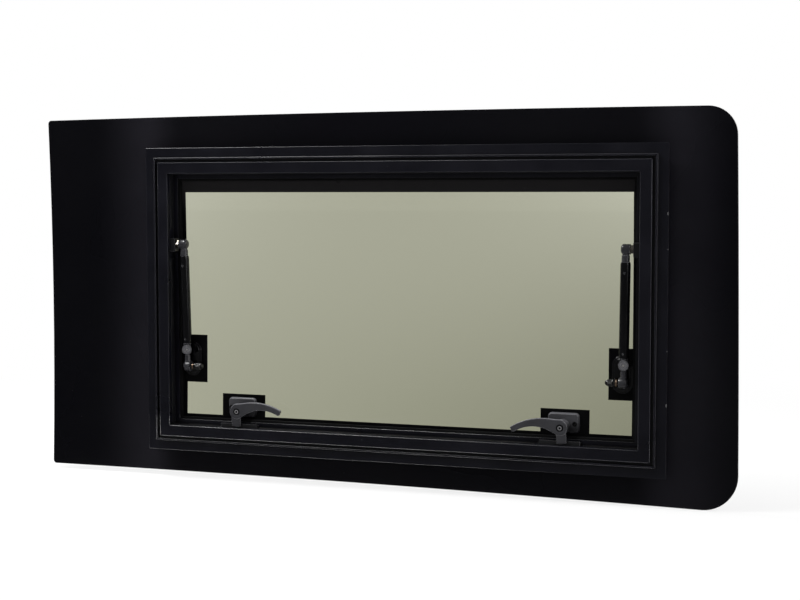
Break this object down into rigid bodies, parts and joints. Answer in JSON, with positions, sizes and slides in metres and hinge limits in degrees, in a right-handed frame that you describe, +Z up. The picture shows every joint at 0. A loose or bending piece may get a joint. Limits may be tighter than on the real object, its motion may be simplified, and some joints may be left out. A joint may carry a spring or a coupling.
{
  "type": "opening van window",
  "caption": "Bonded camper window: bent black glass panel with a framed opening, a top-hung tinted pane, telescopic stays and lever latches, seen from the room side.",
  "frame": {"origin": "middle of the bottom flange's rear face, the flat face that lies on the inside of the vehicle's wall", "axes": "+Z up, +Y towards the outside of the vehicle, +X to the right as seen from the room"},
  "size_m": [1.211, 0.0376, 0.6232],
  "materials": {
    "panel_glass": "toughened glass with a black ceramic coat all over its inner face, polished",
    "sealant": "black polyurethane adhesive, smooth skinned",
    "frame_coat": "extruded aluminium with a fine satin black powder coat",
    "seal_rubber": "extruded EPDM rubber, matt black",
    "tinted_glass": "toughened glass, light grey-green tint, polished",
    "border_enamel": "black ceramic enamel fired on the glass, semi-matt",
    "hinge_alloy": "black anodised aluminium extrusion",
    "trim_plastic": "extruded grey-black PVC trim",
    "keeper_plastic": "moulded glass-filled nylon, black",
    "latch_plastic": "moulded glass-filled nylon, dark grey, fine texture",
    "screw_steel": "zinc plated steel screw",
    "stay_plastic": "moulded nylon, black",
    "stud_metal": "yellow passivated zinc plated steel",
    "tube_coat": "drawn aluminium tube, black coated",
    "rod_plastic": "moulded acetal, black",
    "knob_plastic": "moulded nylon, mid grey, fine texture",
    "foot_plastic": "moulded ABS, glossy black"
  },
  "bodies": {
    "window": {"outer_panel": "panel_glass", "bonding_bead": "sealant", "frame_top": "frame_coat", "frame_bottom": "frame_coat", "frame_left": "frame_coat", "frame_right": "frame_coat", "pane_seal": "seal_rubber", "opening_pane": "tinted_glass", "pane_border": "border_enamel", "hinge_rail": "hinge_alloy", "hinge_leaf": "hinge_alloy", "head_strip": "trim_plastic", "sill_strip_left": "trim_plastic", "sill_strip_middle": "trim_plastic", "sill_strip_right": "trim_plastic", "jamb_strip_left_upper": "trim_plastic", "jamb_strip_left_lower": "trim_plastic", "jamb_strip_right_upper": "trim_plastic", "jamb_strip_right_lower": "trim_plastic", "keeper_left": "keeper_plastic", "keeper_right": "keeper_plastic", "latch_base_left": "latch_plastic", "latch_base_right": "latch_plastic", "latch_pivot_left": "screw_steel", "latch_pivot_right": "screw_steel", "stay_bracket_left": "stay_plastic", "stay_bracket_right": "stay_plastic", "upper_stud_left": "stud_metal", "upper_stud_right": "stud_metal", "upper_socket_left": "stay_plastic", "upper_socket_right": "stay_plastic", "stay_tube_left": "tube_coat", "stay_tube_right": "tube_coat", "stay_rod_left": "rod_plastic", "stay_rod_right": "rod_plastic", "stay_clamp_left": "stay_plastic", "stay_clamp_right": "stay_plastic", "stay_foot_left": "foot_plastic", "stay_foot_right": "foot_plastic", "lower_stud_left": "stud_metal", "lower_stud_right": "stud_metal"},
    "lever_left": {"latch_lever_left": "latch_plastic"},
    "lever_right": {"latch_lever_right": "latch_plastic"},
    "knob_left": {"clamp_knob_left": "knob_plastic"},
    "knob_right": {"clamp_knob_right": "knob_plastic"}
  },
  "joints": [
    {"name": "latch_left", "type": "hinge", "parent": "window", "child": "lever_left", "pos_m": [-0.2814, 0, 0.0633], "axis": [0, -1, 0], "range_deg": [0, 90]},
    {"name": "latch_right", "type": "hinge", "parent": "window", "child": "lever_right", "pos_m": [0.2814, 0, 0.0633], "axis": [0, 1, 0], "range_deg": [0, 94.5]},
    {"name": "clamp_left", "type": "hinge", "parent": "window", "child": "knob_left", "pos_m": [-0.37995, 0.00938, 0.16629], "axis": [0.3583, -0.9335, -0.0141], "range_deg": [0, 270]},
    {"name": "clamp_right", "type": "hinge", "parent": "window", "child": "knob_right", "pos_m": [0.37995, 0.00938, 0.16629], "axis": [0.1478, -0.9888, -0.023], "range_deg": [0, 270]}
  ]
}
